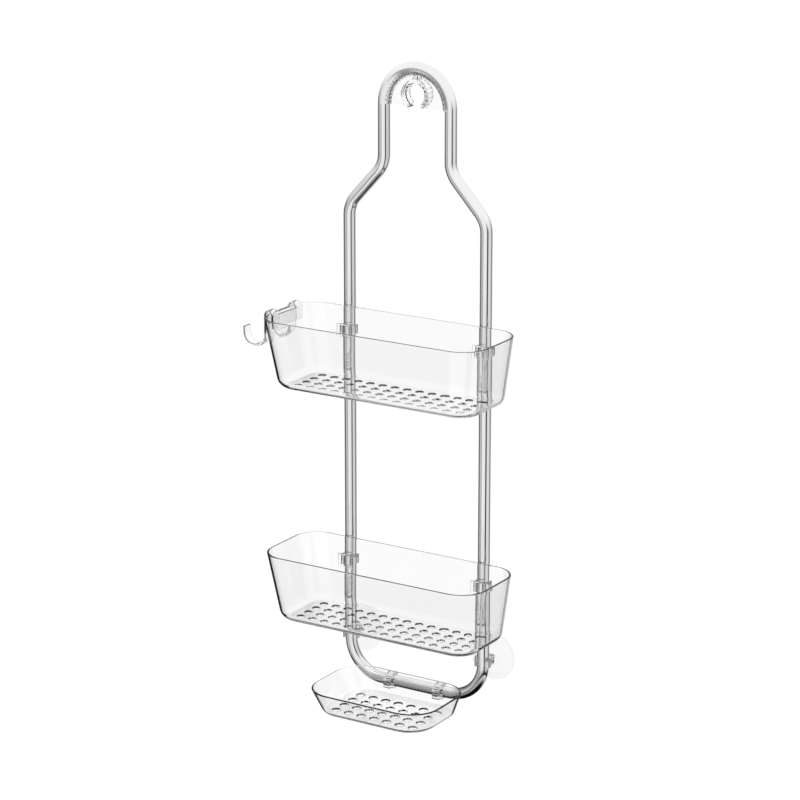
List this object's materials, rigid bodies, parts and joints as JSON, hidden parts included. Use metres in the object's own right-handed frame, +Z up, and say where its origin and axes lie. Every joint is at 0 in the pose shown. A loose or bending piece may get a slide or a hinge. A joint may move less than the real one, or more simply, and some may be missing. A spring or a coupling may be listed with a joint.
{
  "type": "shower caddy",
  "caption": "Hanging shower caddy: bent chrome tube frame with a clear shower-arm grip, clear slide-on baskets, lift-off side hooks, tilting soap dish and wall suction cups.",
  "frame": {"origin": "on the axis of the shower arm, at the middle of the grip's clamp", "axes": "+Z up, +Y towards the wall, +X to the right as seen from the front; the tube frame lies in the XZ plane"},
  "size_m": [0.2775, 0.1256, 0.6521],
  "materials": {
    "chrome_tube": "polished chrome plate on bent steel tube",
    "clear_plastic": "clear moulded plastic, glossy",
    "clear_vinyl": "clear soft vinyl, smooth"
  },
  "bodies": {
    "frame": {"upper_frame": "chrome_tube", "lower_frame": "chrome_tube", "shower_arm_grip": "clear_plastic"},
    "upper_basket": {"upper_basket": "clear_plastic", "upper_basket_clip_left": "clear_plastic", "upper_basket_clip_right": "clear_plastic"},
    "lower_basket": {"lower_basket": "clear_plastic", "lower_basket_clip_left": "clear_plastic", "lower_basket_clip_right": "clear_plastic"},
    "hook_rack": {"hook_rack": "clear_plastic"},
    "soap_dish": {"soap_dish": "clear_plastic"},
    "suction_cup_left": {"suction_cup_clip_left": "clear_plastic", "suction_cup_left": "clear_vinyl"},
    "suction_cup_right": {"suction_cup_clip_right": "clear_plastic", "suction_cup_right": "clear_vinyl"}
  },
  "joints": [
    {"name": "upper_basket_slide", "type": "slide", "parent": "frame", "child": "upper_basket", "axis": [0, 0, 1], "range_m": [-0.06, 0.08]},
    {"name": "lower_basket_slide", "type": "slide", "parent": "frame", "child": "lower_basket", "axis": [0, 0, 1], "range_m": [-0.02, 0.08]},
    {"name": "hook_rack_lift", "type": "slide", "parent": "upper_basket", "child": "hook_rack", "axis": [0, 0, 1], "range_m": [0, 0.04]},
    {"name": "soap_dish_tilt", "type": "hinge", "parent": "frame", "child": "soap_dish", "pos_m": [0, 0, -0.61], "axis": [1, 0, 0], "range_deg": [-5, 35]},
    {"name": "suction_cup_left_swivel", "type": "hinge", "parent": "frame", "child": "suction_cup_left", "pos_m": [-0.0785, 0, -0.5685], "axis": [0, 0, 1], "range_deg": [-45, 45]},
    {"name": "suction_cup_right_swivel", "type": "hinge", "parent": "frame", "child": "suction_cup_right", "pos_m": [0.0785, 0, -0.5685], "axis": [0, 0, 1], "range_deg": [-45, 45]}
  ]
}
